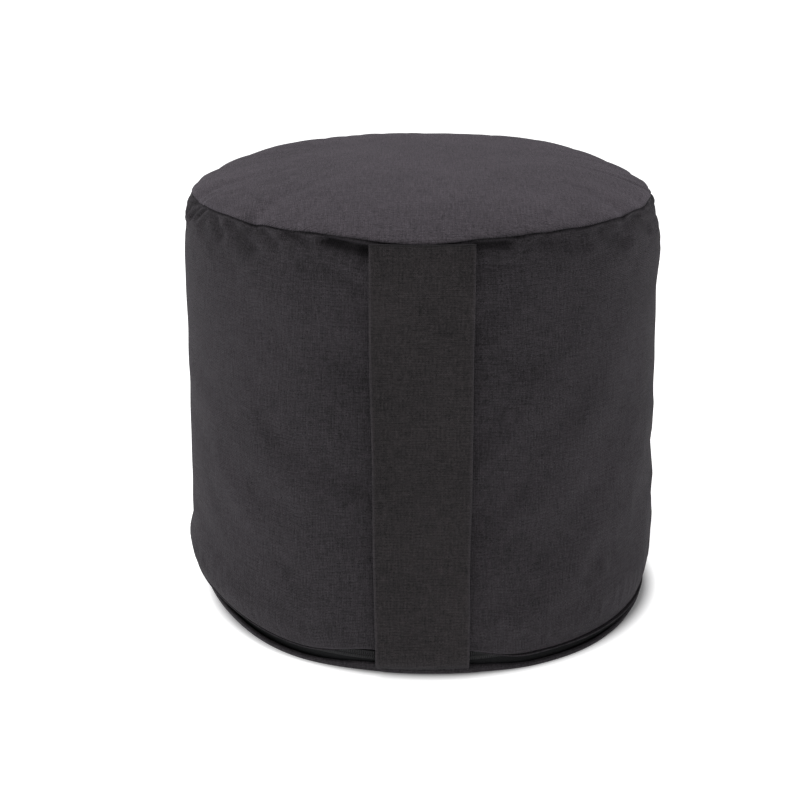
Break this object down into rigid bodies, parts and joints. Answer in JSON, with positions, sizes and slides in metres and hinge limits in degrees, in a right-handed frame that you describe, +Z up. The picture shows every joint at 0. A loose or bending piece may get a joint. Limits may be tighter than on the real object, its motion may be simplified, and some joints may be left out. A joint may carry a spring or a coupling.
{
  "type": "round floor pouf cushion",
  "caption": "Upright drum-shaped floor cushion: canvas cover with carry strap and a zip round its foot, over a husk-filled inner cushion.",
  "frame": {"origin": "middle of the underside, on the floor", "axes": "+Z up; the carry strap is on the -Y side; +X is to the right as the strap is faced"},
  "size_m": [0.379, 0.3817, 0.357],
  "materials": {
    "canvas_wall": "matte",
    "canvas_top": "matte",
    "canvas_strap": "matte",
    "zip_tape": "matte",
    "zip_coil": "satin",
    "zip_metal": "satin",
    "dark_thread": "matte",
    "liner_cloth": "matte",
    "liner_thread": "matte",
    "husks": "matte"
  },
  "bodies": {
    "base": {"base_panel": "canvas_wall", "base_seam_thread": "dark_thread", "zip_tape_lower": "zip_tape", "zip_coil_lower": "zip_coil", "zip_stop_lower": "zip_metal", "zip_box": "zip_metal"},
    "cover": {"side_panel": "canvas_wall", "top_panel": "canvas_top", "top_seam_thread": "dark_thread", "back_seam_thread": "dark_thread", "hem_thread": "dark_thread", "zip_tape_upper": "zip_tape", "zip_coil_upper": "zip_coil", "zip_stop_upper": "zip_metal", "zip_pin": "zip_metal", "liner_top_panel": "liner_cloth", "liner_side_panel": "liner_cloth", "liner_base_panel": "liner_cloth", "liner_top_thread": "liner_thread", "liner_base_thread": "liner_thread", "filling": "husks"},
    "strap": {"carry_strap": "canvas_strap"},
    "slider": {"zip_slider": "zip_metal"},
    "pull": {"zip_pull": "zip_metal"}
  },
  "joints": [
    {"name": "base_flap", "type": "hinge", "parent": "base", "child": "cover", "pos_m": [0, -0.1865, 0.01], "axis": [1, 0, 0], "range_deg": [0, 90]},
    {"name": "strap_lift", "type": "slide", "parent": "cover", "child": "strap", "axis": [0, -1, 0], "range_m": [0, 0.03], "stiffness_N_per_m": 200},
    {"name": "slider_run", "type": "hinge", "parent": "base", "child": "slider", "pos_m": [0, 0, 0.016], "axis": [0, 0, 1], "range_deg": [0, 338]},
    {"name": "pull_swing", "type": "hinge", "parent": "slider", "child": "pull", "pos_m": [-0.03494, 0.18314, 0.016], "axis": [0, 0, -1], "range_deg": [0, 180]}
  ]
}
